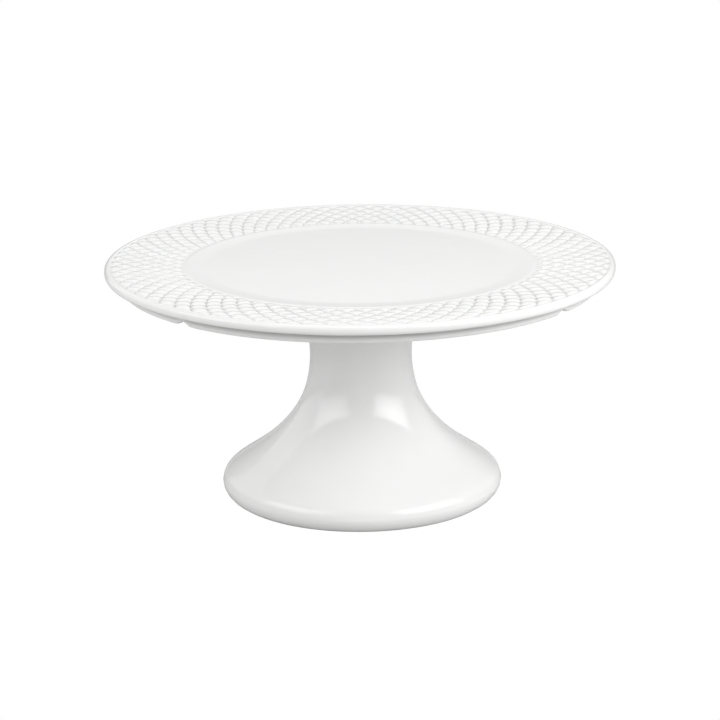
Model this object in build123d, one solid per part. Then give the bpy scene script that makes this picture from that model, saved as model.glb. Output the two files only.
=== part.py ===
from build123d import *

import math
import os

# Glazed porcelain cake stand: a shallow plate bolted to a hollow trumpet foot.
# Millimetres. Z is up, the table is z = 0 and the stand's axis is the Z axis.
# Every turned piece is an (r, z) outline in the XZ plane, revolved about Z.

# ---- driving dimensions: plate -------------------------------------------------
PLATE_RADIUS = 150.0
WELL_HEIGHT = 140.1            # top of the flat well above the table
WELL_RADIUS = 99.5             # where the flat well meets the lattice band
BAND_RISE = 2.3                # well up to the band's outer edge
BEAD_INNER_RADIUS = 146.2      # where the lattice band meets the raised bead
BEAD_CREST = 2.8               # well up to the crest of the bead
RIM_ROUNDING = 2.4
PLATE_THICKNESS = 6.8
RIM_DROP = 2.8                 # well down to the lower edge of the rim's side
RING_ROOT_DROP = 4.3           # well down to the root of the foot ring, outside
RIM_UNDERSIDE_DROP = 5.2       # well down to the underside beside the foot ring, inside

RING_ROOT_RADIUS = 142.4       # foot ring under the plate
RING_FOOT_RADIUS = 141.2
RING_WIDTH = 5.6
RING_DROP = 9.6                # well down to the lower edge of the ring
NOTCH_CUTS = (45.8, 143.4)     # two cuts straight across the ring, degrees from +X
NOTCH_HALF_WIDTH = 6.4
NOTCH_DEPTH = 2.5

# ---- driving dimensions: pedestal ------------------------------------------------
FOOT_CONTACT_RADIUS = 76.4     # outer edge of the ground land that stands on the table
FOOT_LAND_WIDTH = 6.4
FOOT_MAX_RADIUS = 83.7
FOOT_MAX_LEVEL = 8.6
WALL = 7.0                     # wall of the hollow pedestal
SEAT_RADIUS = 40.0             # outer edge of the cup that carries the plate
CUP_RADIUS = 30.0              # bore of the cup at its lip
CUP_DRAFT = 3.0
CUP_DEPTH = 12.0               # seat down to the deck inside the cup
DECK_THICKNESS = 6.5
DECK_HOLE_RADIUS = 4.75
NECK_ROOF_RADIUS = 22.0        # the neck's hollow where it meets the deck

# ---- driving dimensions: the joint between them -----------------------------------
GASKET_THICKNESS = 1.0
COLLAR_CLEARANCE = 1.0         # locating collar to the cup's bore
COLLAR_WIDTH = 4.0
COLLAR_DEPTH = 3.0
BOSS_TIP_RADIUS = 12.5
BOSS_ROOT_RADIUS = 15.0
BOSS_CLEARANCE = 0.8           # tip of the boss to the deck
POCKET_RADIUS = 7.5
CEMENT_FILM = 0.6              # between the insert and the roof of its pocket
BOLT_RADIUS = 4.0              # M8
BOLT_LENGTH = 20.0
BOLT_HEAD_FLATS = 13.0
BOLT_HEAD_HEIGHT = 5.3
THREAD_CLEARANCE = 0.05
INSERT_RADIUS = 6.0
INSERT_LENGTH = 11.0
INSERT_GROOVE_DEPTH = 0.6
INSERT_GROOVE_WIDTH = 1.6
STEEL_WASHER = (4.2, 12.0, 1.6)      # bore radius, outer radius, thickness
CUSHION_WASHER = (4.4, 12.5, 2.0)

# ---- heights worked out from them ---------------------------------------------
UNDERSIDE = WELL_HEIGHT - PLATE_THICKNESS
SEAT_HEIGHT = UNDERSIDE - GASKET_THICKNESS
DECK_TOP = SEAT_HEIGHT - CUP_DEPTH
DECK_BOTTOM = DECK_TOP - DECK_THICKNESS
BOSS_TIP = DECK_TOP + BOSS_CLEARANCE
INSERT_TOP = BOSS_TIP + INSERT_LENGTH
POCKET_TOP = INSERT_TOP + CEMENT_FILM
WASHER_TOP = DECK_BOTTOM - CUSHION_WASHER[2]
HEAD_TOP = WASHER_TOP - STEEL_WASHER[2]
RING_BOTTOM = WELL_HEIGHT - RING_DROP

# Outside of the trumpet foot, from its widest level up to the cup.
FLARE = [
    (FOOT_MAX_RADIUS, FOOT_MAX_LEVEL),
    (82.3, 13.0),
    (78.0, 17.2),
    (71.0, 22.0),
    (62.4, 28.0),
    (53.9, 35.0),
    (46.1, 43.0),
    (39.4, 52.0),
    (34.4, 62.0),
    (31.3, 74.0),
    (30.3, 86.0),
    (31.2, 98.0),
    (33.6, 114.0),
    (SEAT_RADIUS - 0.8, SEAT_HEIGHT - 2.5),
]


def turned(outline):
    """Revolve a face, drawn in the XZ plane with x as radius, about Z."""
    return revolve(outline, Axis.Z)


def rounded_polygon(corners):
    """A face in the XZ plane through (r, z, radius) corners, each rounded by its radius."""
    points = [(r, z) for r, z, radius in corners]
    face = make_face(Plane.XZ * Polyline(*points, close=True))
    for r, z, radius in corners:
        if radius > 0:
            corner = face.vertices().sort_by_distance(Vector(r, 0, z))[0]
            face = fillet(corner, radius)
    return face


def ring(inner_radius, outer_radius, bottom, top):
    """A plain ring about Z."""
    height = top - bottom
    tube = Cylinder(outer_radius, height) - Cylinder(inner_radius, height * 2)
    return Pos(0, 0, (bottom + top) / 2) * tube


def plate_outline():
    """Half section of the plate: well, lattice band, bead, foot ring, collar and boss."""
    well = WELL_HEIGHT
    crest = well + BEAD_CREST
    collar_outer = CUP_RADIUS - COLLAR_CLEARANCE
    collar_inner = collar_outer - COLLAR_WIDTH
    collar_bottom = UNDERSIDE - COLLAR_DEPTH
    ring_inside = RING_FOOT_RADIUS - RING_WIDTH
    return rounded_polygon([
        (0, well, 0),
        (WELL_RADIUS, well, 0),
        (BEAD_INNER_RADIUS, well + BAND_RISE, 0),
        (BEAD_INNER_RADIUS + 0.9, crest, 0.8),
        (PLATE_RADIUS, crest, RIM_ROUNDING),
        (PLATE_RADIUS, well - RIM_DROP, RIM_ROUNDING),
        (RING_ROOT_RADIUS, well - RING_ROOT_DROP, 1.0),
        (RING_FOOT_RADIUS, RING_BOTTOM, 1.9),
        (ring_inside, RING_BOTTOM, 1.7),
        (ring_inside - 0.6, well - RIM_UNDERSIDE_DROP, 1.5),
        (WELL_RADIUS, UNDERSIDE, 0),
        (collar_outer, UNDERSIDE, 0),
        (collar_outer, collar_bottom, 0.8),
        (collar_inner, collar_bottom, 0.8),
        (collar_inner, UNDERSIDE, 0.8),
        (BOSS_ROOT_RADIUS, UNDERSIDE, 1.2),
        (BOSS_TIP_RADIUS, BOSS_TIP, 0.8),
        (POCKET_RADIUS, BOSS_TIP, 0),
        (POCKET_RADIUS, POCKET_TOP, 0),
        (0, POCKET_TOP, 0),
    ])


def notch_cutter():
    """A bell-shaped trough that runs across the whole foot ring along X."""
    half = NOTCH_HALF_WIDTH
    bottom = RING_BOTTOM
    roof = bottom + NOTCH_DEPTH
    below = bottom - 1.0
    left = Bezier((-half, bottom), (-half * 0.45, bottom), (-half * 0.3, roof), (0, roof))
    right = Bezier((0, roof), (half * 0.3, roof), (half * 0.45, bottom), (half, bottom))
    sides = Polyline((half, bottom), (half, below), (-half, below), (-half, bottom))
    outline = Plane.YZ * make_face([left, right, *sides.edges()])
    inner = RING_FOOT_RADIUS - RING_WIDTH - 5.0
    outer = RING_ROOT_RADIUS + 2.0
    trough = extrude(outline, amount=outer - inner, dir=(1, 0, 0))
    return Pos(inner, 0, 0) * trough


def make_plate():
    plate = turned(plate_outline())
    cutter = notch_cutter()
    for cut in NOTCH_CUTS:
        for end in (0, 180):
            plate -= Rot(0, 0, cut + end) * cutter
    return plate


def inward(points, distance):
    """Points moved square to the curve through them, towards the axis."""
    moved = []
    last = len(points) - 1
    for index, (r, z) in enumerate(points):
        before = points[max(index - 1, 0)]
        after = points[min(index + 1, last)]
        along = math.hypot(after[0] - before[0], after[1] - before[1])
        slope_r = (after[0] - before[0]) / along
        slope_z = (after[1] - before[1]) / along
        moved.append((r - distance * slope_z, z + distance * slope_r))
    return moved


def make_pedestal():
    """Hollow trumpet: an open foot, a waist and a cup with a drilled deck."""
    land_outer = (FOOT_CONTACT_RADIUS, 0)
    land_inner = (FOOT_CONTACT_RADIUS - FOOT_LAND_WIDTH, 0)
    lip = (SEAT_RADIUS - 1.6, SEAT_HEIGHT)
    lip_middle = (SEAT_RADIUS - 0.5, SEAT_HEIGHT - 0.7)
    cup_lip = (CUP_RADIUS, SEAT_HEIGHT)
    cup_floor = (CUP_RADIUS - CUP_DRAFT, DECK_TOP)
    hole_top = (DECK_HOLE_RADIUS, DECK_TOP)
    hole_bottom = (DECK_HOLE_RADIUS, DECK_BOTTOM)
    roof = (NECK_ROOF_RADIUS, DECK_BOTTOM)
    hollow = [p for p in inward(FLARE, WALL) if 12.0 < p[1] < DECK_BOTTOM - 4.0]
    outline = [
        Line(land_inner, land_outer),
        TangentArc([FLARE[0], land_outer], tangent=(0, -1)),
        Spline(*FLARE),
        ThreePointArc(FLARE[-1], lip_middle, lip),
        *Polyline(lip, cup_lip, cup_floor, hole_top, hole_bottom, roof, hollow[-1]).edges(),
        Spline(*hollow),
        Line(hollow[0], land_inner),
    ]
    return turned(Plane.XZ * make_face(outline))


def make_seat_gasket():
    """Flat silicone ring between the cup's lip and the underside of the plate."""
    return ring(CUP_RADIUS + 0.5, SEAT_RADIUS - 2.2, SEAT_HEIGHT, UNDERSIDE)


def make_threaded_insert():
    """Brass M8 nut with two keying grooves round it."""
    nut = ring(BOLT_RADIUS + THREAD_CLEARANCE, INSERT_RADIUS, BOSS_TIP, INSERT_TOP)
    for third in (1, 2):
        middle = BOSS_TIP + INSERT_LENGTH * third / 3
        bottom = middle - INSERT_GROOVE_WIDTH / 2
        top = middle + INSERT_GROOVE_WIDTH / 2
        nut -= ring(INSERT_RADIUS - INSERT_GROOVE_DEPTH, INSERT_RADIUS + 1.0, bottom, top)
    return nut


def make_insert_cement(insert):
    """Cement that fills the pocket round and above the insert."""
    filling = ring(BOLT_RADIUS + THREAD_CLEARANCE, POCKET_RADIUS, BOSS_TIP, POCKET_TOP)
    return filling - insert


def make_clamp_bolt():
    """M8 hexagon bolt, head down, its tip inside the insert."""
    corner_radius = BOLT_HEAD_FLATS / 2 / math.cos(math.radians(30))
    hexagon = extrude(RegularPolygon(corner_radius, 6), amount=BOLT_HEAD_HEIGHT)
    crown = Pos(0, 0, BOLT_HEAD_HEIGHT / 2) * Cylinder(corner_radius, BOLT_HEAD_HEIGHT)
    crown = chamfer(crown.edges().sort_by(Axis.Z)[0], 0.7, 1.1)
    shank = Pos(0, 0, BOLT_HEAD_HEIGHT + BOLT_LENGTH / 2) * Cylinder(BOLT_RADIUS, BOLT_LENGTH)
    shank = chamfer(shank.edges().sort_by(Axis.Z)[-1], 0.8)
    return Pos(0, 0, HEAD_TOP - BOLT_HEAD_HEIGHT) * ((hexagon & crown) + shank)


def make_washer(sizes, bottom):
    bore, outer, thickness = sizes
    return ring(bore, outer, bottom, bottom + thickness)


def main():
    os.makedirs("parts", exist_ok=True)
    insert = make_threaded_insert()
    nodes = {
        "plate": make_plate(),
        "pedestal": make_pedestal(),
        "seat_gasket": make_seat_gasket(),
        "threaded_insert": insert,
        "insert_cement": make_insert_cement(insert),
        "clamp_bolt": make_clamp_bolt(),
        "steel_washer": make_washer(STEEL_WASHER, HEAD_TOP),
        "cushion_washer": make_washer(CUSHION_WASHER, WASHER_TOP),
    }
    for name, shape in nodes.items():
        export_step(shape, f"parts/{name}.step")
        print(name, "solids", len(shape.solids()), "volume", round(shape.volume))


main()
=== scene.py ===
import math
from collections import namedtuple

import bpy
import numpy as np
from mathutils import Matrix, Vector


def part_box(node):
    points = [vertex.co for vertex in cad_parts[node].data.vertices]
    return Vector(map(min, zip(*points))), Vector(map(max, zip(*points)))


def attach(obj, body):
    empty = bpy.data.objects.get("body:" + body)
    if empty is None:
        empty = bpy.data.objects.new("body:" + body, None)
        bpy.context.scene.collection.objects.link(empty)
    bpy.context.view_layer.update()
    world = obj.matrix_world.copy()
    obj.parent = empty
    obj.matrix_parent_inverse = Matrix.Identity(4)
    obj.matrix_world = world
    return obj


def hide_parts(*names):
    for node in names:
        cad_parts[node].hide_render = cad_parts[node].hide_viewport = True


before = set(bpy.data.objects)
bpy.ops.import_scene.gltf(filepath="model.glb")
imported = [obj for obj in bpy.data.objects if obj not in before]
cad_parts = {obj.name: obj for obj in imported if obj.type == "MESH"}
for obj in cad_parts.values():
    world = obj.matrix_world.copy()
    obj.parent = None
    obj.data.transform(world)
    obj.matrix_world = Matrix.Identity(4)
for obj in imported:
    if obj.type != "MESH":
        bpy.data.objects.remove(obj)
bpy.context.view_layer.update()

# Looks of the glazed porcelain cake stand. Sizes below are in millimetres unless they say
# otherwise, and the CAD part gives the places. Blender objects are in metres.
MM = 0.001

# ---- sizes of the plate -----------------------------------------------------------------
# A level is a height above the flat well, so most of them are negative.
BEAD_CREST = 2.8
PLATE_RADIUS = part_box("plate")[1][0] / MM
WELL_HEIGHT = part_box("plate")[1][2] / MM - BEAD_CREST
WELL_RADIUS = 99.1
LIP_INNER_RADIUS = 90.0           # a low rounded lip runs round the well
LIP_CREST_RADIUS = 101.8
LIP_OUTER_RADIUS = 105.6
LIP_HEIGHT = 0.32
LIP_ROW_PITCH = 1.2               # between the mesh rows on the lip
FLAT_ROW_RADII = (2.0, 12.0, 30.0, 55.0, 80.0)        # of the mesh rows in the flat well
BAND_BEND = 2.0                   # length over which the band bends up out of the well
BAND_OUTER_RADIUS = 147.2
BAND_OUTER_LEVEL = 2.15
BEAD_INNER_RADIUS = 145.6         # where the smooth bead starts to rise out of the band
BEAD_TOP_RADIUS = 148.6
RIM_ROUNDING = 2.4
RIM_BOTTOM_LEVEL = -2.8
UNDERSIDE_LEVEL = -6.8
UNDERSIDE_RADIUS = 99.5           # the underside rises gently from here to the foot ring
RING_ROOT_LEVEL = -4.3
RING_BOTTOM_LEVEL = -9.6
RING_ROOT_RADIUS = 141.6
RING_FOOT_RADIUS = 141.2
RING_WIDTH = 5.6
RING_BEND_LEVEL = -6.6
RING_INSIDE_DRAFT = 0.6
RING_INSIDE_LEVEL = -5.2
NOTCH_INNER_RADIUS = 134.0        # the notches lift nothing further in than this
NOTCH_CUTS = (45.8, 143.4)        # degrees, each cut runs right across the ring
NOTCH_HALF_WIDTH = 6.4
NOTCH_DEPTH = 2.5
COLLAR_OUTER_RADIUS = 29.0
COLLAR_INNER_RADIUS = 25.0
COLLAR_BOTTOM_LEVEL = -9.8
BOSS_ROOT_RADIUS = 15.0
BOSS_TIP_RADIUS = 12.5
BOSS_TIP_LEVEL = -19.0
POCKET_RADIUS = 7.5
POCKET_TOP_LEVEL = -7.4
POLE_RADIUS = FLAT_ROW_RADII[0]   # of the smallest ring of vertices round the axis
# Painted shade in the corner between the rim and the foot ring, where little light reaches:
# radii over which it sets in and thins out, and levels over which it sets in on the way up the ring.
RING_SHADE_FADE_IN = (140.0, 141.5)
RING_SHADE_FADE_OUT = (142.5, 147.0)
RING_SHADE_LEVELS = (-7.6, -5.2)

# ---- the pressed lattice ----------------------------------------------------------------
GROOVES = 72                      # grooves in each of the two crossing families
STEPS_PER_CELL = 10               # mesh columns from one groove to the next
HALF_ROWS = 7.4                   # mesh rows, in half lozenges, out to the bead
FIRST_ROW_RADIUS = 101.6
ROW_PITCH = 6.65                  # the first half lozenge
ROW_PITCH_LOSS = 0.065            # the lozenges grow shorter towards the rim
CROWN_HEIGHT = 0.90
GROOVE_DEPTH = 0.45
PIT_DEPTH = 0.20                  # extra depth where two grooves cross
GROOVE_WIDTH = 0.22               # as the sine of half a groove's share of a cell
LINE_WIDTH = 0.09                 # half of the fine line in a groove's bottom, in cells
LINE_DEPTH = 0.22
LATTICE_FADE_IN = (103.5, 107.5)  # radii between which the grooves reach full depth
LATTICE_FADE_OUT = (143.5, 147.0)
# The hand-made lattice is not quite even: constant, cosine and sine parts of its turn in
# degrees and of its slip outwards in half lozenges.
LATTICE_TURN = (-1.95, 4.3, 2.0)
LATTICE_SLIP = (-0.50, 0.41, -0.52)

# ---- sizes of the pedestal --------------------------------------------------------------
FOOT_CONTACT_RADIUS = 76.4
FOOT_LAND_WIDTH = 6.4
WALL = 7.0
SEAT_RADIUS = 40.0
SEAT_HEIGHT = WELL_HEIGHT + UNDERSIDE_LEVEL - 1.0     # the gasket is 1 mm thick
CUP_RADIUS = 30.0
CUP_DRAFT = 3.0
CUP_FLOOR = SEAT_HEIGHT - 12.0
DECK_BOTTOM = CUP_FLOOR - 6.5
DECK_HOLE_RADIUS = 4.75
NECK_ROOF_RADIUS = 22.0
HOLLOW_BOTTOM = 12.0              # from here up to the top, the hollow follows the flare
HOLLOW_TOP = DECK_BOTTOM - 4.0
# Radius and height up the outside of the foot and the neck, from the widest level.
FLARE = [
    (83.7, 8.6),
    (82.3, 13.0),
    (78.0, 17.2),
    (71.0, 22.0),
    (62.4, 28.0),
    (53.9, 35.0),
    (46.1, 43.0),
    (39.4, 52.0),
    (34.4, 62.0),
    (31.3, 74.0),
    (30.3, 86.0),
    (31.2, 98.0),
    (33.6, 114.0),
    (SEAT_RADIUS - 0.8, SEAT_HEIGHT - 2.5),
]
PEDESTAL_COLUMNS = 360

# ---- colours ----------------------------------------------------------------------------
PORCELAIN_DARK = (0.815, 0.815, 0.81)
PORCELAIN_LIGHT = (0.845, 0.845, 0.84)
# grooves painted darker: partly glaze pooled in them, partly painted shade of the relief
GROOVE_GLAZE_AND_SHADE = (0.73, 0.735, 0.73)
# painted shade: the darker grey in the corner between the rim and the foot ring
RING_PAINTED_SHADE = (0.49, 0.495, 0.49)
IRON_SPECK = (0.52, 0.47, 0.40)
BARE_CLAY = (0.66, 0.63, 0.58)
DUST = (0.8, 0.8, 0.78)
TABLE_TONE = 0.55


# ---- outlines ---------------------------------------------------------------------------
def unit(vector):
    return vector / np.linalg.norm(vector)


def arc(centre, start, end, step=18.0):
    """Points from start to end round centre, the short way, at most step degrees apart."""
    first = start - centre
    radius = np.linalg.norm(first)
    begin = math.atan2(first[1], first[0])
    finish = math.atan2(end[1] - centre[1], end[0] - centre[0])
    turn = (finish - begin + math.pi) % (2 * math.pi) - math.pi
    count = max(3, math.ceil(abs(math.degrees(turn)) / step))
    angles = begin + turn * np.arange(count + 1) / count
    return [centre + radius * np.array((math.cos(a), math.sin(a))) for a in angles]


def rounded(corners):
    """(r, z) points along (r, z, radius) corners, each rounded by its radius."""
    points = []
    last = len(corners) - 1
    for index, (r, z, radius) in enumerate(corners):
        here = np.array((r, z), float)
        if radius == 0 or index in (0, last):
            points.append(here)
            continue
        back = unit(np.array(corners[index - 1][:2]) - here)
        ahead = unit(np.array(corners[index + 1][:2]) - here)
        half = math.acos(np.clip(back @ ahead, -1, 1)) / 2
        centre = here + unit(back + ahead) * radius / math.sin(half)
        reach = radius / math.tan(half)
        points.extend(arc(centre, here + back * reach, here + ahead * reach))
    return points


def supported(points, near=0.35, far=40.0):
    """Extra points on long straight runs, so that smooth shading stays flat there."""
    full = [points[0]]
    for before, after in zip(points, points[1:]):
        run = np.linalg.norm(after - before)
        if run > 4 * near:
            inner = np.linspace(near / run, 1 - near / run, 1 + math.ceil(run / far))
            full.extend(before + (after - before) * t for t in inner)
        full.append(after)
    return full


def smooth_curve(knots, per_span):
    """Points along the natural cubic spline through the knots."""
    knots = np.array(knots, float)
    spans = np.linalg.norm(np.diff(knots, axis=0), axis=1)
    count = len(knots)
    system = np.eye(count)
    right = np.zeros((count, 2))
    for i in range(1, count - 1):
        a, b = spans[i - 1], spans[i]
        system[i, i - 1:i + 2] = (a, 2 * (a + b), b)
        right[i] = 6 * ((knots[i + 1] - knots[i]) / b - (knots[i] - knots[i - 1]) / a)
    bend = np.linalg.solve(system, right)
    points = []
    for i, h in enumerate(spans):
        for t in np.arange(per_span) / per_span * h:
            s = h - t
            value = (bend[i] * s ** 3 + bend[i + 1] * t ** 3) / (6 * h)
            value = value + (knots[i] / h - bend[i] * h / 6) * s
            points.append(value + (knots[i + 1] / h - bend[i + 1] * h / 6) * t)
    points.append(knots[-1])
    return points


def smooth_step(value, low, high):
    """Rise smoothly from 0 at low to 1 at high."""
    share = np.clip((value - low) / (high - low), 0, 1)
    return share * share * (3 - 2 * share)


# ---- meshes -----------------------------------------------------------------------------
def new_object(name, vertices, faces):
    mesh = bpy.data.meshes.new(name)
    mesh.from_pydata(vertices, [], faces)
    mesh.validate()
    mesh.shade_smooth()
    made = bpy.data.objects.new(name, mesh)
    bpy.context.scene.collection.objects.link(made)
    return made


def woven_faces(first, second, columns, lean):
    """Triangles between two rows of vertices.

    lean is 0 where the rows' columns line up, 1 where the second row stands half a
    column ahead, and -1 where it stands half a column behind.
    """
    faces = []
    for j in range(columns):
        k = (j + 1) % columns
        if lean >= 0:
            faces.append((first + j, second + j, first + k))
            faces.append((first + k, second + j, second + k))
        else:
            faces.append((first + j, second + j, second + k))
            faces.append((first + j, second + k, first + k))
    return faces


def thinning_faces(fine, coarse, columns):
    """Triangles between a row and one with half its vertices, named by their first ones."""
    faces = []
    for j in range(columns):
        k = (j + 1) % columns
        left, middle, right = (fine + (2 * j + step) % (2 * columns) for step in range(3))
        faces.append((left, coarse + j, middle))
        faces.append((middle, coarse + j, coarse + k))
        faces.append((middle, coarse + k, right))
    return faces


def turned_mesh(name, rows, leans, poles=None):
    """A watertight skin through rows of vertices.

    A row may have half or twice as many vertices as the one before it. poles holds the
    two points on the axis where the skin starts and ends. Without them the last row is
    joined to the first, as in a ring.
    """
    vertices = [tuple(v) for row in rows for v in row]
    starts = np.cumsum([0] + [len(row) for row in rows]).tolist()
    faces = []
    for index, lean in enumerate(leans):
        here, there = starts[index], starts[index + 1]
        count, next_count = len(rows[index]), len(rows[index + 1])
        if count == next_count:
            faces += woven_faces(here, there, count, lean)
        elif count > next_count:
            faces += thinning_faces(here, there, next_count)
        else:
            faces += [face[::-1] for face in thinning_faces(there, here, count)]
    last, end = starts[-2], len(rows[-1])
    if poles is None:
        faces += woven_faces(last, 0, end, 0)
    else:
        top = len(vertices)
        vertices += [tuple(pole) for pole in poles]
        count = len(rows[0])
        faces += [(top, j, (j + 1) % count) for j in range(count)]
        faces += [(top + 1, last + (j + 1) % end, last + j) for j in range(end)]
    return new_object(name, vertices, faces)


def ring_of_points(radius, angles, height):
    """Points in metres; height is one number or one for each angle."""
    heights = np.broadcast_to(height, angles.shape)
    return np.stack((radius * np.cos(angles), radius * np.sin(angles), heights), axis=1) * MM


# ---- the lattice ------------------------------------------------------------------------
def uneven(parts, angles):
    """The constant, cosine and sine parts added up at each angle."""
    constant, cosine, sine = parts
    return constant + cosine * np.cos(angles) + sine * np.sin(angles)


def plate_columns():
    """Angles of the mesh columns, and of those halfway between, in radians."""
    columns = GROOVES * STEPS_PER_CELL

    def angle(place):
        plain = 2 * math.pi * place / columns
        return plain + np.radians(uneven(LATTICE_TURN, plain))

    places = np.arange(columns)
    return angle(places), angle(places + 0.5)


def row_radius(place):
    """Radius of the lattice at a place counted in half lozenges from the well's edge."""
    return FIRST_ROW_RADIUS + ROW_PITCH * place - ROW_PITCH_LOSS * place ** 2


def lattice_relief(cells, half_rows):
    """Relief at places counted in cells round the plate and half lozenges outwards."""
    left = np.abs(np.sin(math.pi * (cells - half_rows / 2)))
    right = np.abs(np.sin(math.pi * (cells + half_rows / 2)))
    left_groove = np.exp(-(left / GROOVE_WIDTH) ** 2)
    right_groove = np.exp(-(right / GROOVE_WIDTH) ** 2)
    groove = np.maximum(left_groove, right_groove)
    pit = left_groove * right_groove
    return CROWN_HEIGHT * np.sqrt(left * right) - GROOVE_DEPTH * groove - PIT_DEPTH * pit


def lattice_depth(radius):
    """Share of the full relief: it fades out towards the well and the bead."""
    return smooth_step(radius, *LATTICE_FADE_IN) * (1 - smooth_step(radius, *LATTICE_FADE_OUT))


# ---- the plate --------------------------------------------------------------------------
def top_level(radius):
    """The plate's top without the lattice: well, low lip, band and bead."""
    slope = BAND_OUTER_LEVEL / (BAND_OUTER_RADIUS - WELL_RADIUS)
    above = radius - WELL_RADIUS
    level = slope * (above + math.sqrt(above ** 2 + BAND_BEND ** 2)) / 2
    rise = smooth_step(radius, LIP_INNER_RADIUS, LIP_CREST_RADIUS)
    level += LIP_HEIGHT * (rise - smooth_step(radius, LIP_CREST_RADIUS, LIP_OUTER_RADIUS))
    return level + (BEAD_CREST - level) * smooth_step(radius, BEAD_INNER_RADIUS, BEAD_TOP_RADIUS)


def notch_lift(angles, radius):
    """How far the foot ring's lower edge is pressed up at each column."""
    lift = np.zeros_like(angles)
    for cut in np.radians(NOTCH_CUTS):
        across = radius * np.sin(angles - cut) / NOTCH_HALF_WIDTH
        bell = 0.5 + 0.5 * np.cos(math.pi * np.clip(across, -1, 1))
        lift = np.maximum(lift, NOTCH_DEPTH * bell)
    return lift


def ring_painted_shade(radius, level):
    """Share of painted shade in the corner between the rim and the foot ring, where little light
    reaches.
    """
    outside = smooth_step(radius, *RING_SHADE_FADE_IN) * (1 - smooth_step(radius, *RING_SHADE_FADE_OUT))
    return outside * smooth_step(level, *RING_SHADE_LEVELS)


def well_outline():
    """The flat well, out to the lattice."""
    lip = np.arange(LIP_INNER_RADIUS - 1.0, FIRST_ROW_RADIUS - 0.5, LIP_ROW_PITCH)
    return [(radius, top_level(radius)) for radius in [*FLAT_ROW_RADII, *lip]]


def outer_outline():
    """From the lattice over the bead, round the rim and in along the underside."""
    ring_inside = RING_FOOT_RADIUS - RING_WIDTH
    return supported(rounded([
        (BAND_OUTER_RADIUS, top_level(BAND_OUTER_RADIUS), 0),
        (PLATE_RADIUS, BEAD_CREST, RIM_ROUNDING),
        (PLATE_RADIUS, RIM_BOTTOM_LEVEL, RIM_ROUNDING),
        (RING_ROOT_RADIUS, RING_ROOT_LEVEL + 0.5, 1.0),
        (RING_FOOT_RADIUS + 0.2, RING_BEND_LEVEL, 0),
        (RING_FOOT_RADIUS, RING_BOTTOM_LEVEL, 1.9),
        (ring_inside, RING_BOTTOM_LEVEL, 1.7),
        (ring_inside - RING_INSIDE_DRAFT, RING_INSIDE_LEVEL, 1.5),
        (UNDERSIDE_RADIUS, UNDERSIDE_LEVEL, 0),
        (COLLAR_OUTER_RADIUS, UNDERSIDE_LEVEL, 0),
        (COLLAR_OUTER_RADIUS, COLLAR_BOTTOM_LEVEL, 0.8),
        (COLLAR_INNER_RADIUS, COLLAR_BOTTOM_LEVEL, 0.8),
        (COLLAR_INNER_RADIUS, UNDERSIDE_LEVEL, 0.8),
        (BOSS_ROOT_RADIUS, UNDERSIDE_LEVEL, 1.2),
        (BOSS_TIP_RADIUS, BOSS_TIP_LEVEL, 0.8),
        (POCKET_RADIUS, BOSS_TIP_LEVEL, 0),
        (POCKET_RADIUS, POCKET_TOP_LEVEL, 0),
        (POLE_RADIUS, POCKET_TOP_LEVEL, 0),
    ]))


class PlateSkin:
    """Rows of vertices from the well's middle round the rim to the pocket's roof.

    With each vertex goes its place in the lattice, the share of the lattice's relief
    there, and the share of painted shade beside the foot ring.
    """

    def __init__(self):
        self.rows, self.leans = [], []
        self.cells, self.half_rows = [], []
        self.depths, self.ring_shades = [], []

    def add(self, angles, radius, level, lean=0, place=0.0, depth=0.0, ring_shade=0.0, shift=0.0):
        """Add a row. place is its place in the lattice, and shift its offset in columns."""
        cells = (np.arange(len(angles)) + shift) * GROOVES / len(angles)
        half_rows = place + uneven(LATTICE_SLIP, angles)
        if depth > 0:
            level = level + depth * lattice_relief(cells, half_rows)
        self.rows.append(ring_of_points(radius, angles, WELL_HEIGHT + level))
        self.leans.append(lean)
        self.cells.append(cells)
        self.half_rows.append(half_rows)
        self.depths.append(np.full_like(angles, depth))
        self.ring_shades.append(np.full_like(angles, ring_shade))

    def add_well(self, angles):
        for radius, level in well_outline():
            self.add(angles, radius, level)

    def add_band(self, on, between):
        for row in range(round(HALF_ROWS * STEPS_PER_CELL) + 1):
            odd = row % 2
            place = row / STEPS_PER_CELL
            radius = row_radius(place)
            self.add(
                between if odd else on, radius, top_level(radius), lean=-1 if odd else 1,
                place=place, depth=lattice_depth(radius), shift=0.5 * odd,
            )
        self.leans[-1] = 0

    def add_outside(self, angles):
        ring_height = RING_ROOT_LEVEL - RING_BOTTOM_LEVEL
        for radius, level in outer_outline()[1:]:
            share = np.clip((RING_ROOT_LEVEL - level) / ring_height, 0, 1)
            lift = share * notch_lift(angles, radius) if radius > NOTCH_INNER_RADIUS else 0
            self.add(angles, radius, level + lift, ring_shade=ring_painted_shade(radius, level))

    def finished(self, name):
        poles = [(0, 0, (WELL_HEIGHT + level) * MM) for level in (0, POCKET_TOP_LEVEL)]
        plate = turned_mesh(name, self.rows, self.leans[:-1], poles)
        at_poles = [(0, 0)]
        cells = np.concatenate(self.cells + at_poles)
        half_rows = np.concatenate(self.half_rows + at_poles)
        store_lattice_places(plate.data, cells, half_rows)
        store(plate.data, "lattice_depth", np.concatenate(self.depths + at_poles))
        store(plate.data, "ring_painted_shade", np.concatenate(self.ring_shades + at_poles))
        return plate


def store(mesh, name, values, domain="POINT"):
    """Keep one number for each vertex, or for each corner of the faces, on the mesh."""
    mesh.attributes.new(name, "FLOAT", domain).data.foreach_set("value", values)


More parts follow.
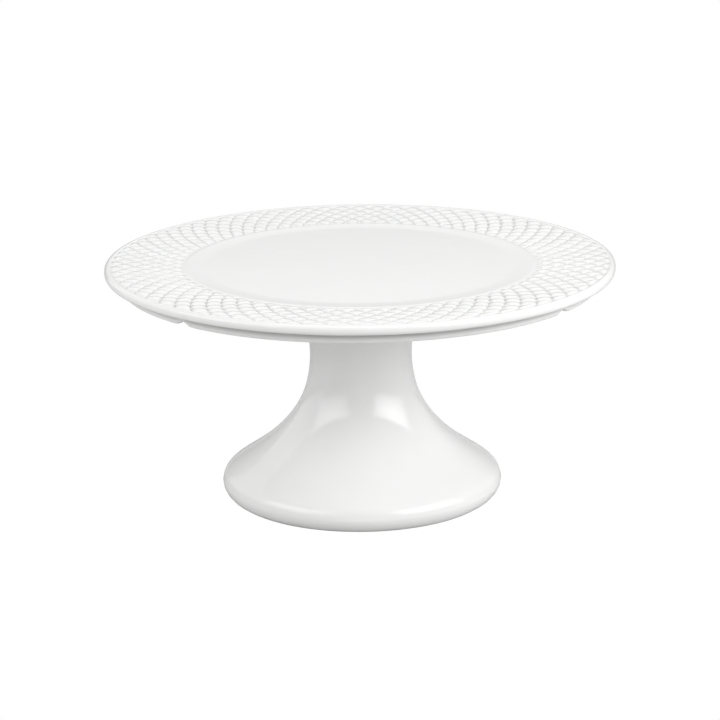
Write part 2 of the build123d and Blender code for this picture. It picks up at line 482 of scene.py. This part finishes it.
def store_lattice_places(mesh, cells, half_rows):
    """Give each corner of the triangles its place along the two families of grooves.

    In a triangle that spans the last cell and the first, the first is counted on from
    the last.
    """
    corners = np.empty(len(mesh.loops), dtype=int)
    mesh.loops.foreach_get("vertex_index", corners)
    around = cells[corners].reshape(-1, 3)
    around += GROOVES * (around.max(axis=1, keepdims=True) - around > GROOVES / 2)
    outwards = half_rows[corners].reshape(-1, 3)
    store(mesh, "lattice_left", (around - outwards / 2).ravel(), "CORNER")
    store(mesh, "lattice_right", (around + outwards / 2).ravel(), "CORNER")


def make_plate():
    on, between = plate_columns()
    every_second = on[::2]
    skin = PlateSkin()
    skin.add_well(every_second)
    skin.add_band(on, between)
    skin.add_outside(every_second)
    return skin.finished("porcelain_plate")


# ---- the pedestal -----------------------------------------------------------------------
def foot_edge(land_outer):
    """Round edge from the ground land up to the widest level, upright where it ends."""
    widest = np.array(FLARE[0])
    chord = land_outer - widest
    radius = (chord @ chord) / (2 * -chord[0])
    return arc(widest - (radius, 0), land_outer, widest)


def cup_outline(start):
    """From the flare over the cup's lip, down to the deck and through its hole.

    The last corner only sets which way the roof of the neck turns down.
    """
    return rounded([
        (*start, 0),
        (SEAT_RADIUS, SEAT_HEIGHT, 1.2),
        (CUP_RADIUS, SEAT_HEIGHT, 0.4),
        (CUP_RADIUS - CUP_DRAFT, CUP_FLOOR, 0.8),
        (DECK_HOLE_RADIUS, CUP_FLOOR, 0.3),
        (DECK_HOLE_RADIUS, DECK_BOTTOM, 0.3),
        (NECK_ROOF_RADIUS, DECK_BOTTOM, 1.5),
        (NECK_ROOF_RADIUS + 2.5, DECK_BOTTOM - 10.0, 0),
    ])[:-1]


def hollow_outline():
    """Inside of the foot, a wall's thickness in from the flare, from the deck down."""
    flare = np.array(FLARE)
    slope = np.gradient(flare, axis=0)
    slope /= np.linalg.norm(slope, axis=1)[:, None]
    inner = flare + WALL * np.stack((-slope[:, 1], slope[:, 0]), axis=1)
    kept = [point for point in inner if HOLLOW_BOTTOM < point[1] < HOLLOW_TOP]
    return smooth_curve(kept, per_span=5)[::-1]


def pedestal_outline():
    land_inner = np.array((FOOT_CONTACT_RADIUS - FOOT_LAND_WIDTH, 0.0))
    land_outer = np.array((FOOT_CONTACT_RADIUS, 0.0))
    land = supported([land_inner, land_outer])
    outside = smooth_curve(FLARE, per_span=7)
    cup = supported(cup_outline(outside[-1]))
    return land + foot_edge(land_outer)[1:] + outside[1:] + cup[1:] + hollow_outline()


def make_pedestal():
    angles = 2 * math.pi * np.arange(PEDESTAL_COLUMNS) / PEDESTAL_COLUMNS
    rows = [ring_of_points(radius, angles, height) for radius, height in pedestal_outline()[::-1]]
    return turned_mesh("porcelain_pedestal", rows, [0] * (len(rows) - 1))


# ---- materials --------------------------------------------------------------------------
def add_maths(tree, operation, *inputs):
    """Result of a math node; each input is a number or a socket."""
    node = tree.nodes.new("ShaderNodeMath")
    node.operation = operation
    for socket, value in zip(node.inputs, inputs):
        if isinstance(value, float):
            socket.default_value = value
        else:
            tree.links.new(value, socket)
    return node.outputs[0]


def mix_shaders(tree, share, first, second):
    """First shader where share is 0 and second where it is 1."""
    node = tree.nodes.new("ShaderNodeMixShader")
    for socket, value in zip(node.inputs, (share, first, second)):
        tree.links.new(value, socket)
    return node.outputs[0]


class Nodes:
    """The node tree of one material, with a short way to add and link nodes."""

    def __init__(self, name):
        self.material = bpy.data.materials.get(name) or bpy.data.materials.new(name)
        self.material.use_nodes = True
        self.tree = self.material.node_tree
        self.tree.nodes.clear()
        self.shader = self.tree.nodes.new("ShaderNodeBsdfPrincipled")
        self.output = self.tree.nodes.new("ShaderNodeOutputMaterial")
        self.link(self.shader.outputs[0], self.output.inputs["Surface"])
        self.place = self.tree.nodes.new("ShaderNodeTexCoord").outputs["Object"]

    def link(self, source, target):
        self.tree.links.new(source, target)

    def set(self, **values):
        """Values of the shader's own sockets, such as specular_tint for Specular Tint."""
        for key, value in values.items():
            title = key.replace("_", " ").title().replace("Ior", "IOR")
            self.shader.inputs[title].default_value = value

    def maths(self, operation, *inputs):
        return add_maths(self.tree, operation, *inputs)

    def noise(self, size, detail=2.0, roughness=0.5, stretch=(1, 1, 1)):
        """Noise between 0 and 1 with features of about size millimetres."""
        mapping = self.tree.nodes.new("ShaderNodeMapping")
        mapping.inputs["Scale"].default_value = stretch
        self.link(self.place, mapping.inputs["Vector"])
        node = self.tree.nodes.new("ShaderNodeTexNoise")
        node.inputs["Scale"].default_value = 1 / (size * MM)
        node.inputs["Detail"].default_value = detail
        node.inputs["Roughness"].default_value = roughness
        self.link(mapping.outputs[0], node.inputs["Vector"])
        return node.outputs[0]

    def attribute(self, name):
        node = self.tree.nodes.new("ShaderNodeAttribute")
        node.attribute_name = name
        return node.outputs["Fac"]

    def height(self):
        """Height above the table in metres."""
        split = self.tree.nodes.new("ShaderNodeSeparateXYZ")
        self.link(self.place, split.inputs[0])
        return split.outputs["Z"]

    def from_origin(self):
        """Distance from the middle of the foot, in metres."""
        node = self.tree.nodes.new("ShaderNodeVectorMath")
        node.operation = "LENGTH"
        self.link(self.place, node.inputs[0])
        return node.outputs["Value"]

    def spread(self, value, low, high, first, last):
        """Map value from low..high to first..last, held at both ends."""
        node = self.tree.nodes.new("ShaderNodeMapRange")
        self.link(value, node.inputs["Value"])
        node.inputs["From Min"].default_value = low
        node.inputs["From Max"].default_value = high
        node.inputs["To Min"].default_value = first
        node.inputs["To Max"].default_value = last
        return node.outputs[0]

    def blend(self, share, first, second):
        """Colour between first and second; each is a colour or a socket."""
        node = self.tree.nodes.new("ShaderNodeMix")
        node.data_type = "RGBA"
        self.link(share, node.inputs["Factor"])
        # The node's colours go in at its sockets 6 and 7 and come out at its socket 2.
        for socket, colour in ((node.inputs[6], first), (node.inputs[7], second)):
            if isinstance(colour, tuple):
                socket.default_value = (*colour, 1)
            else:
                self.link(colour, socket)
        return node.outputs[2]

    def bump(self, value, depth, normal=None):
        """Surface detail depth millimetres deep, over an earlier normal."""
        node = self.tree.nodes.new("ShaderNodeBump")
        node.inputs["Strength"].default_value = 1.0
        node.inputs["Distance"].default_value = depth * MM
        self.link(value, node.inputs["Height"])
        if normal is not None:
            self.link(normal, node.inputs["Normal"])
        return node.outputs[0]

    def finish(self, colour, roughness, normal):
        self.link(colour, self.shader.inputs["Base Color"])
        self.link(roughness, self.shader.inputs["Roughness"])
        self.link(normal, self.shader.inputs["Normal"])
        return self.material


def groove_lines(made):
    """1 along the bottom of a lattice groove, falling to 0 a line's width away."""
    lines = []
    for family in ("lattice_left", "lattice_right"):
        phase = made.maths("MULTIPLY", made.attribute(family), math.pi)
        across = made.maths("ABSOLUTE", made.maths("SINE", phase))
        lines.append(made.spread(across, 0.0, math.sin(math.pi * LINE_WIDTH), 1.0, 0.0))
    return made.maths("MULTIPLY", made.maths("MAXIMUM", *lines), made.attribute("lattice_depth"))


def porcelain(name):
    """White glaze, painted darker in the grooves (partly pooled glaze, partly painted shade) and
    with painted shade in the corner between rim and foot ring; bare ground land below.
    """
    made = Nodes(name)
    made.set(subsurface_weight=0.1, subsurface_scale=1.5 * MM, subsurface_radius=(1.0, 0.9, 0.8))
    made.set(ior=1.5)
    lines = groove_lines(made)
    body = made.blend(made.noise(45.0, detail=3.0), PORCELAIN_DARK, PORCELAIN_LIGHT)
    # the grooves are painted darker: partly pooled glaze, partly painted shade
    glaze_and_shade = made.blend(lines, body, GROOVE_GLAZE_AND_SHADE)
    # painted shade in the corner between the rim and the foot ring
    glaze_and_shade = made.blend(made.attribute("ring_painted_shade"), glaze_and_shade, RING_PAINTED_SHADE)
    specks = made.spread(made.noise(1.1, detail=0.0), 0.80, 0.84, 0.0, 0.07)
    glaze_and_shade = made.blend(specks, glaze_and_shade, IRON_SPECK)
    ground = made.spread(made.height(), 0.1 * MM, 0.5 * MM, 1.0, 0.0)
    colour = made.blend(ground, glaze_and_shade, BARE_CLAY)
    gloss = made.spread(made.noise(9.0, detail=3.0), 0.3, 0.7, 0.06, 0.11)
    matt = made.spread(ground, 0.0, 1.0, 0.0, 0.6)
    pressed = made.bump(made.spread(lines, 0.0, 1.0, 1.0, 0.0), LINE_DEPTH)
    waves = made.bump(made.noise(14.0, detail=1.0), 0.05, pressed)
    peel = made.bump(made.noise(2.2, detail=1.0), 0.0015, waves)
    return made.finish(colour, made.maths("ADD", gloss, matt), peel)


def silicone(name, colour, shade):
    """Soft moulded rubber: satin, faintly mottled, with dust and a fine grain."""
    made = Nodes(name)
    made.set(subsurface_weight=0.25, subsurface_scale=1.0 * MM, ior=1.42)
    mottled = made.blend(made.noise(6.0, detail=4.0), colour, shade)
    dust = made.spread(made.noise(0.5, detail=0.0), 0.72, 0.8, 0.0, 0.5)
    surface = made.spread(made.noise(2.0, detail=3.0), 0.3, 0.7, 0.38, 0.55)
    grain = made.bump(made.noise(0.4), 0.02)
    return made.finish(made.blend(dust, mottled, DUST), surface, grain)


def metal(name, colour, shade, gloss, turned_grooves):
    """Plated or turned metal: patchy tone, fine tool marks round the axis and scuffs."""
    made = Nodes(name)
    made.set(metallic=1.0)
    tone = made.blend(made.noise(3.5, detail=4.0), colour, shade)
    stain = made.spread(made.noise(1.6, detail=5.0), 0.62, 0.75, 0.0, 0.35)
    tone = made.blend(stain, tone, tuple(0.55 * part for part in shade))
    surface = made.spread(made.noise(1.2, detail=4.0), 0.3, 0.7, gloss, gloss + 0.16)
    marks = made.bump(made.noise(4.0, detail=3.0, stretch=(1, 1, 14)), turned_grooves)
    scuffs = made.bump(made.noise(0.3, detail=2.0), 0.004, marks)
    return made.finish(tone, surface, scuffs)


def cement(name):
    """Grey-buff cement with pores and sand grains."""
    made = Nodes(name)
    made.set(ior=1.45)
    tone = made.blend(made.noise(3.0, detail=5.0), (0.50, 0.47, 0.41), (0.66, 0.63, 0.57))
    pores = made.spread(made.noise(0.6, detail=1.0), 0.66, 0.74, 0.0, 1.0)
    tone = made.blend(pores, tone, (0.25, 0.23, 0.20))
    surface = made.spread(pores, 0.0, 1.0, 0.82, 0.95)
    grit = made.bump(made.noise(0.8, detail=4.0), 0.08)
    return made.finish(tone, surface, grit)


def make_hardware_materials():
    """Finish the CAD pieces of the hidden joint, each through its own material slots."""
    finishes = {
        "seat_gasket": silicone("silicone_gasket", (0.62, 0.63, 0.64), (0.70, 0.71, 0.72)),
        "cushion_washer": silicone("silicone_cushion", (0.10, 0.10, 0.105), (0.16, 0.16, 0.165)),
        "threaded_insert": metal("insert_brass", (0.80, 0.60, 0.30), (0.66, 0.46, 0.20), 0.24, 0.03),
        "clamp_bolt": metal("bolt_steel", (0.66, 0.68, 0.70), (0.52, 0.55, 0.58), 0.26, 0.02),
        "steel_washer": metal("washer_steel", (0.70, 0.71, 0.72), (0.56, 0.58, 0.60), 0.22, 0.01),
        "insert_cement": cement("cement"),
    }
    for node, material in finishes.items():
        for slot in bpy.data.objects[node].material_slots:
            slot.material = material


# ---- floor, light and camera ------------------------------------------------------------
FLOOR_HALF_WIDTH = 15.0           # metres
WORLD_STRENGTH = 0.32

# Azimuth from the camera's side (positive to the right) and elevation in degrees, distance,
# width and height in metres, radiance, and how much of it is lost towards the edges. Each
# light faces the middle of the plate.
Softbox = namedtuple("Softbox", "azimuth elevation distance width height radiance fade")
SOFTBOXES = {
    "softbox_right": Softbox(58.0, 25.0, 1.2, 1.40, 0.85, 5.4, 0.7),
    "softbox_left": Softbox(-58.0, 25.0, 1.2, 1.40, 0.85, 3.0, 0.7),
    "wall_right": Softbox(112.0, 18.0, 1.1, 1.30, 0.80, 0.40, 0.2),
    "wall_left": Softbox(-112.0, 18.0, 1.1, 1.30, 0.80, 0.76, 0.2),
    "wall_back": Softbox(180.0, 25.0, 1.4, 2.00, 0.95, 0.75, 1.0),
    "softbox_top": Softbox(0.0, 90.0, 1.1, 0.90, 0.90, 1.9, 0.5),
    "card_front": Softbox(0.0, 2.0, 1.5, 1.00, 0.32, 0.8, 0.7),
}

CAMERA_DISTANCE = 1.5             # metres
CAMERA_ELEVATION = 16.487         # degrees
CAMERA_ROLL = 0.62                # degrees
CAMERA_AIM_DROP = 70.0            # the camera aims at the axis, this far below the well
CAMERA_SENSOR = 36.0              # width
CAMERA_LENS = 125.635
CAMERA_SHIFT = (-0.001528, 0.024028)                  # parts of the picture's width


def make_floor():
    """A plain table: white to the camera, and a softer grey where the glaze mirrors it.

    It is clear from below and under the foot, so that the underside can be seen.
    """
    half = FLOOR_HALF_WIDTH
    corners = [(-half, -half, 0), (half, -half, 0), (half, half, 0), (-half, half, 0)]
    floor = new_object("floor", corners, [(0, 1, 2, 3)])
    made = Nodes("white_table")
    tree = made.tree
    made.set(base_color=(TABLE_TONE, TABLE_TONE, TABLE_TONE, 1), roughness=0.9)
    white = tree.nodes.new("ShaderNodeEmission").outputs[0]
    clear = tree.nodes.new("ShaderNodeBsdfTransparent").outputs[0]
    to_camera = tree.nodes.new("ShaderNodeLightPath").outputs["Is Camera Ray"]
    from_below = tree.nodes.new("ShaderNodeNewGeometry").outputs["Backfacing"]
    contact = (FOOT_CONTACT_RADIUS - 0.2) * MM
    under_foot = made.spread(made.from_origin(), contact, contact + 0.1 * MM, 1.0, 0.0)
    table = mix_shaders(tree, to_camera, made.shader.outputs[0], white)
    see_through = made.maths("MAXIMUM", from_below, under_foot)
    made.link(mix_shaders(tree, see_through, table, clear), made.output.inputs["Surface"])
    floor.data.materials.append(made.material)


def fade_edges(light, fade):
    """Make an area light fall off smoothly from its middle towards its edges."""
    light.use_nodes = True
    tree = light.node_tree
    split = tree.nodes.new("ShaderNodeSeparateXYZ")
    place = tree.nodes.new("ShaderNodeNewGeometry").outputs["Parametric"]
    tree.links.new(place, split.inputs[0])
    humps = [
        add_maths(tree, "SINE", add_maths(tree, "MULTIPLY", along, math.pi))
        for along in split.outputs[:2]
    ]
    middle = add_maths(tree, "MULTIPLY", *humps)
    strength = add_maths(tree, "ADD", add_maths(tree, "MULTIPLY", middle, fade), 1.0 - fade)
    tree.links.new(strength, tree.nodes["Emission"].inputs["Strength"])


def make_softboxes():
    aim = Vector((0, 0, WELL_HEIGHT * MM))
    for name, box in SOFTBOXES.items():
        light = bpy.data.lights.new(name, "AREA")
        light.shape = "RECTANGLE"
        light.size, light.size_y = box.width, box.height
        light.energy = box.radiance * math.pi * box.width * box.height
        fade_edges(light, box.fade)
        made = bpy.data.objects.new(name, light)
        bpy.context.scene.collection.objects.link(made)
        around, up = math.radians(box.azimuth), math.radians(box.elevation)
        level = math.cos(up)
        away = Vector((math.sin(around) * level, -math.cos(around) * level, math.sin(up)))
        made.location = aim + away * box.distance
        made.rotation_euler = away.to_track_quat("Z", "Y").to_euler()
        made.visible_camera = False


def make_world():
    """White to the camera, and a dimmer white as light."""
    world = bpy.data.worlds.new("studio")
    bpy.context.scene.world = world
    world.use_nodes = True
    tree = world.node_tree
    dim = tree.nodes["Background"]
    white = tree.nodes.new("ShaderNodeBackground")
    for node, strength in ((dim, WORLD_STRENGTH), (white, 1.0)):
        node.inputs["Color"].default_value = (1, 1, 1, 1)
        node.inputs["Strength"].default_value = strength
    to_camera = tree.nodes.new("ShaderNodeLightPath").outputs["Is Camera Ray"]
    mixed = mix_shaders(tree, to_camera, dim.outputs[0], white.outputs[0])
    tree.links.new(mixed, tree.nodes["World Output"].inputs[0])


def make_camera():
    elevation, roll = math.radians(CAMERA_ELEVATION), math.radians(CAMERA_ROLL)
    target = Vector((0, 0, (WELL_HEIGHT - CAMERA_AIM_DROP) * MM))
    camera = bpy.data.cameras.new("camera")
    camera.sensor_width = CAMERA_SENSOR
    camera.lens = CAMERA_LENS
    camera.shift_x, camera.shift_y = CAMERA_SHIFT
    made = bpy.data.objects.new("camera", camera)
    bpy.context.scene.collection.objects.link(made)
    back = Vector((0, -math.cos(elevation), math.sin(elevation)))
    made.location = target + back * CAMERA_DISTANCE
    made.rotation_mode = "XYZ"
    made.rotation_euler = (math.pi / 2 - elevation, 0, 0)
    made.rotation_euler.rotate_axis("Z", -roll)
    bpy.context.scene.camera = made


def main():
    for made, node in ((make_plate(), "plate"), (make_pedestal(), "pedestal")):
        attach(made, "root")
        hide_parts(node)
        made.data.materials.append(porcelain(f"porcelain_{node}"))
    make_hardware_materials()
    make_floor()
    make_world()
    make_softboxes()
    make_camera()
    bpy.context.scene.view_settings.view_transform = "Standard"


main()
